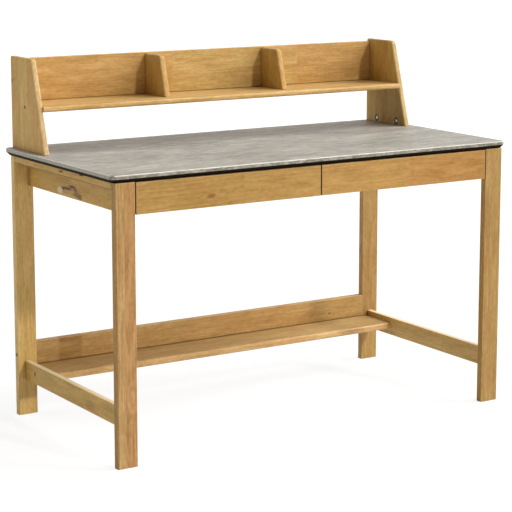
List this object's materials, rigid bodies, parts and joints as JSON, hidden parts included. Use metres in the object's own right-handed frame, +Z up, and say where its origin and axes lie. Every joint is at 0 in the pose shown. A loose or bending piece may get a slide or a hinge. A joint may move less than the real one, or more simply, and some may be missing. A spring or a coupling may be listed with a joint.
{
  "type": "writing desk with shelf",
  "caption": "Wooden writing desk with a concrete-look top, drawers under it, a low shelf unit standing on it and a foot shelf between its side frames.",
  "frame": {"origin": "on the floor, under the middle of the desktop", "axes": "+X to the sitter's right, +Y to the back of the desk, +Z up"},
  "size_m": [1.271, 0.637, 1.017],
  "materials": {
    "frame_wood": "clear-lacquered light oak tone, satin",
    "drawer_front_wood": "clear-lacquered light oak tone, satin",
    "hutch_wood": "clear-lacquered light oak tone, satin",
    "drawer_box_wood": "bare pale board, sanded",
    "dowel_wood": "bare beech",
    "desktop_laminate": "concrete-look laminate over a fibre board, matt",
    "black_edge": "black painted fibre board, matt",
    "slide_steel": "zinc-plated sheet",
    "screw_steel": "zinc-plated",
    "bolt_bronze": "dark bronze plating",
    "black_plastic": "moulded black plastic",
    "zinc": "die-cast, bare"
  },
  "bodies": {
    "desk": {"case_slide_screws": "screw_steel", "connector_cams": "zinc", "connector_housings": "black_plastic", "connector_studs": "screw_steel", "cross_nuts": "screw_steel", "desktop_slab": "desktop_laminate", "desktop_underboard": "black_edge", "drawer_partition": "frame_wood", "foot_shelf": "frame_wood", "frame_bolts": "bolt_bronze", "front_rail": "frame_wood", "hutch_back_panel": "hutch_wood", "hutch_bolts": "bolt_bronze", "hutch_divider_left": "hutch_wood", "hutch_divider_right": "hutch_wood", "hutch_shelf": "hutch_wood", "hutch_side_left": "hutch_wood", "hutch_side_right": "hutch_wood", "left_slide_outer_left": "slide_steel", "left_slide_outer_right": "slide_steel", "leg_front_left": "frame_wood", "leg_front_right": "frame_wood", "leg_rear_left": "frame_wood", "leg_rear_right": "frame_wood", "lower_back_board": "frame_wood", "rear_apron": "frame_wood", "rear_rail": "frame_wood", "right_slide_outer_left": "slide_steel", "right_slide_outer_right": "slide_steel", "side_apron_left": "frame_wood", "side_apron_right": "frame_wood", "side_rail_left": "frame_wood", "side_rail_right": "frame_wood", "side_stretcher_left": "frame_wood", "side_stretcher_right": "frame_wood", "wood_screws": "screw_steel", "wooden_dowels": "dowel_wood"},
    "left_drawer": {"left_drawer_back": "drawer_box_wood", "left_drawer_bottom": "drawer_box_wood", "left_drawer_dowels": "dowel_wood", "left_drawer_front": "drawer_front_wood", "left_drawer_screws": "screw_steel", "left_drawer_side_left": "drawer_box_wood", "left_drawer_side_right": "drawer_box_wood", "left_slide_inner_left": "slide_steel", "left_slide_inner_right": "slide_steel"},
    "right_drawer": {"right_drawer_back": "drawer_box_wood", "right_drawer_bottom": "drawer_box_wood", "right_drawer_dowels": "dowel_wood", "right_drawer_front": "drawer_front_wood", "right_drawer_screws": "screw_steel", "right_drawer_side_left": "drawer_box_wood", "right_drawer_side_right": "drawer_box_wood", "right_slide_inner_left": "slide_steel", "right_slide_inner_right": "slide_steel"},
    "left_slide_middles": {"left_slide_middle_left": "slide_steel", "left_slide_middle_right": "slide_steel"},
    "right_slide_middles": {"right_slide_middle_left": "slide_steel", "right_slide_middle_right": "slide_steel"}
  },
  "joints": [
    {"name": "left_drawer_slide", "type": "slide", "parent": "desk", "child": "left_drawer", "axis": [0, -1, 0], "range_m": [0, 0.38]},
    {"name": "right_drawer_slide", "type": "slide", "parent": "desk", "child": "right_drawer", "axis": [0, -1, 0], "range_m": [0, 0.38]},
    {"name": "left_middle_slide", "type": "slide", "parent": "desk", "child": "left_slide_middles", "axis": [0, -1, 0], "range_m": [0, 0.19]},
    {"name": "right_middle_slide", "type": "slide", "parent": "desk", "child": "right_slide_middles", "axis": [0, -1, 0], "range_m": [0, 0.19]}
  ],
  "couplings": [
    {"joint": "left_middle_slide", "follows": "left_drawer_slide", "ratio": 0.5},
    {"joint": "right_middle_slide", "follows": "right_drawer_slide", "ratio": 0.5}
  ]
}
